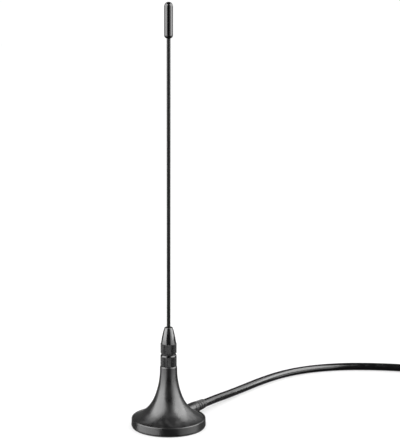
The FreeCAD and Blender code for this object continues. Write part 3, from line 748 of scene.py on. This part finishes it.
def twisted_end(centre, azimuth, way):
    """Rings of points along a tie's two ends, twisted together and lying along the coil's top."""
    radius = COIL_MIDDLE_RADIUS / MM + TWIST_OUT
    top = COIL_LIFT / MM + 2 * COIL_LAYERS * CABLE_RADIUS / MM
    rings = []
    for station in range(TWIST_STATIONS + 1):
        share = station / TWIST_STATIONS
        turn = azimuth + way * share * TWIST_LENGTH / radius
        out = Vector((math.cos(turn), math.sin(turn), 0.0))
        middle = centre + out * (radius + TWIST_SWAY * math.sin(3 * share))
        middle.z = top + TWIST_LIFT + math.sin(math.pi / 2 * min(1.0, 1.3 * share)) ** 2
        spin = 2 * math.pi * TWIST_TURNS * share
        taper = min(1.0, 1.0 - 0.5 * (share - TWIST_TAPER_START) / (1.0 - TWIST_TAPER_START))
        ring = []
        for across, thick in TWISTED_PAIR:
            wide = taper * across * math.cos(spin) - thick * math.sin(spin)
            high = taper * across * math.sin(spin) + thick * math.cos(spin)
            ring.append(middle + out * wide + Vector((0.0, 0.0, TWIST_FLATTENED * high)))
        rings.append(ring)
    return rings


def make_ties(skin):
    """Two coated twist ties: a ribbon with a wire down its middle, its ends twisted together on top."""
    centre = COIL_CENTRE / MM
    points = []
    faces = []
    for azimuth, way in zip(TIE_AZIMUTHS, (1, -1)):
        turn = math.radians(azimuth)
        out = Vector((math.cos(turn), math.sin(turn), 0.0))
        along = Vector((-math.sin(turn), math.cos(turn), 0.0))
        rings = []
        for place, normal in bundle_outline():
            rings.append(list(range(len(points), len(points) + len(TIE_RIBBON))))
            for across, thick in TIE_RIBBON:
                reach = place + thick * normal
                points.append(centre + out * reach.x + along * across + Vector((0.0, 0.0, reach.y)))
        faces += join_rings(rings + rings[:1])
        rings = []
        for ring in twisted_end(centre, turn, way):
            rings.append(list(range(len(points), len(points) + len(ring))))
            points += ring
        faces += join_rings(rings) + [tuple(rings[0]), tuple(rings[-1])]
    put(closed_mesh("twist_ties", points, faces, TIE_CREASE), skin, "foot", "coil_ties")


# ---------------------------------------------------------------- stage

FLOOR_REACH = 4.0
FLOOR_GREY = (0.42, 0.42, 0.42)
FLOOR_GLOW = 0.52


def make_floor():
    """A matt white light table, larger than anything the lens reaches."""
    size = FLOOR_REACH
    corners = [(-size, -size, 0.0), (size, -size, 0.0), (size, size, 0.0), (-size, size, 0.0)]
    mesh = bpy.data.meshes.new("floor")
    mesh.from_pydata(corners, [], [(0, 1, 2, 3)])
    floor = bpy.data.objects.new("floor", mesh)
    bpy.context.scene.collection.objects.link(floor)
    skin = Skin("table_white", FLOOR_GREY, 0.9)
    skin.shader.inputs["Emission Color"].default_value = (1.0, 1.0, 1.0, 1.0)
    skin.shader.inputs["Emission Strength"].default_value = FLOOR_GLOW
    mesh.materials.append(skin.material)
    floor.visible_glossy = False


BOX_DISTANCE = 0.7


def soft_box(name, azimuth, elevations, width, radiance):
    """A flat light 0.7 m from the foot, square to it, between two elevations and width wide, in degrees.

    Its azimuth counts from the camera's side. It shows only in reflections.
    """
    middle = math.radians(sum(elevations) / 2)
    turn = math.radians(azimuth)
    flat = math.cos(middle)
    away = Vector((math.sin(turn) * flat, -math.cos(turn) * flat, math.sin(middle)))
    data = bpy.data.lights.new(name, "AREA")
    data.shape = "RECTANGLE"
    data.size = 2 * BOX_DISTANCE * math.tan(math.radians(width / 2))
    tall = math.radians((elevations[1] - elevations[0]) / 2)
    data.size_y = 2 * BOX_DISTANCE * math.tan(tall)
    data.energy = radiance * math.pi * data.size * data.size_y
    light = bpy.data.objects.new(name, data)
    light.location = BOX_DISTANCE * away
    light.rotation_euler = away.to_track_quat("Z", "Y").to_euler()
    light.visible_camera = False
    light.visible_diffuse = False
    bpy.context.scene.collection.objects.link(light)


def make_lights():
    """A tall box on each side, a dimmer one under it, and smaller ones before and behind the right."""
    soft_box("left_box", -71, (3, 62), 68, 8.8)
    soft_box("left_foot", -68, (-21, 3), 80, 4.4)
    soft_box("right_box", 85, (3, 62), 54, 8.6)
    soft_box("right_foot", 79, (-21, 3), 40, 2.8)
    soft_box("right_front", 46, (-14, 54), 24, 3.5)
    soft_box("right_back", 129, (14, 37), 32, 2.6)


GLOSSY_SPAN = (-0.3, 0.8)
GLOSSY_FRONT = 0.005
GLOSSY_BEHIND = 0.16
WORLD_DIFFUSE = 1.25
WORLD_SEEN = 1.03


def make_world():
    """White to the camera, pale round the table; in reflections black in front and dim behind."""
    world = bpy.data.worlds.new("studio")
    bpy.context.scene.world = world
    world.use_nodes = True
    tree = world.node_tree
    place = tree.nodes.new("ShaderNodeSeparateXYZ")
    tree.links.new(tree.nodes.new("ShaderNodeTexCoord").outputs["Generated"], place.inputs["Vector"])
    behind = tree.nodes.new("ShaderNodeMapRange")
    behind.interpolation_type = "SMOOTHSTEP"
    behind.inputs["From Min"].default_value = GLOSSY_SPAN[0]
    behind.inputs["From Max"].default_value = GLOSSY_SPAN[1]
    behind.inputs["To Min"].default_value = GLOSSY_FRONT
    behind.inputs["To Max"].default_value = GLOSSY_BEHIND
    tree.links.new(place.outputs["Y"], behind.inputs["Value"])
    path = tree.nodes.new("ShaderNodeLightPath")
    gloss = tree.nodes.new("ShaderNodeMix")
    gloss.inputs["A"].default_value = WORLD_DIFFUSE
    tree.links.new(path.outputs["Is Glossy Ray"], gloss.inputs["Factor"])
    tree.links.new(behind.outputs["Result"], gloss.inputs["B"])
    camera = tree.nodes.new("ShaderNodeMix")
    camera.inputs["B"].default_value = WORLD_SEEN
    tree.links.new(path.outputs["Is Camera Ray"], camera.inputs["Factor"])
    tree.links.new(gloss.outputs["Result"], camera.inputs["A"])
    background = tree.nodes["Background"]
    tree.links.new(camera.outputs["Result"], background.inputs["Strength"])
    background.inputs["Color"].default_value = (1.0, 1.0, 1.0, 1.0)
    bpy.context.scene.view_settings.view_transform = "Standard"


# ---------------------------------------------------------------- build

GOLD = ((0.86, 0.64, 0.3), (0.68, 0.47, 0.22))
KNURLED_ROUGHNESS = 0.26

make_camera()
make_lead(rubbery("cable_jacket", BLACK, 0.2, 0.35, 0.003, 0.15).material)
dress(moulded("black_plastic", BLACK, 0.3), "base_shell")
cap = moulded("cap_plastic", BLACK, 0.1, 0.5, 0.001, 0.08)
cap.shader.inputs["Specular IOR Level"].default_value = CAP_SPECULAR
dress(cap, "tip_cap")
dress(drawn_rod("black_steel", 0.3), "whip_rod")
black_metal = coated_metal("black_metal", 0.18)
dress(black_metal, "base_insert")
ring_knurl = knurled_metal("ring_knurl", KNURLED_ROUGHNESS, RING_RADIUS)
dress_band(nodes["base_insert"], ring_knurl, *RING_BAND)
ferrule = make_ferrule(black_metal)
dress_band(ferrule, knurled_metal("grip_knurl", KNURLED_ROUGHNESS, KNURL_RADIUS), *GRIP_BAND)
make_soft_rings()
make_grommet(rubbery("soft_pvc", BLACK, 0.42, 0.25, 0.006))
make_sleeve(rubbery("heat_shrink", SOFT_BLACK, 0.5, 0.3, 0.008))
make_ties(rubbery("tie_plastic", BLACK, 0.4, 0.3, 0.004))
gold = bare_metal("gold_plate", *GOLD, 0.2, "Y")
dress(gold, "plug_body", "crimp_ferrule", "plug_pin")
make_nut(gold)
dress(bare_metal("spring_bronze", (0.6, 0.4, 0.22), (0.4, 0.25, 0.14), 0.3, "Y"), "plug_snap_ring")
insulator = moulded("insulator", (0.75, 0.75, 0.72), 0.45, 0.4, 0.003, 0.0)
dress(insulator, "plug_dielectric", "coax_dielectric", "cable_end_core")
dress(bare_metal("tinned_steel", (0.62, 0.62, 0.6), (0.4, 0.39, 0.36), 0.32, "Z"), "ground_plate")
dress(bare_metal("magnet_nickel", (0.66, 0.65, 0.62), (0.5, 0.48, 0.44), 0.16, "Z", 0.0006), "magnet_disc")
dress(moulded("resin", (0.006, 0.006, 0.007), 0.18, 1.5, 0.02, 0.1), "potting_resin")
dress(bare_metal("copper", (0.75, 0.36, 0.2), (0.4, 0.17, 0.1), 0.25, "Z"), "coax_core_wire")
dress(bare_metal("tinned_copper", (0.6, 0.57, 0.53), (0.45, 0.36, 0.3), 0.35, "Z", 0.02), "braid_pigtail")
dress(bare_metal("solder", (0.62, 0.62, 0.62), (0.45, 0.45, 0.44), 0.22, "Z", 0.006), "solder_joints")
make_floor()
make_lights()
make_world()
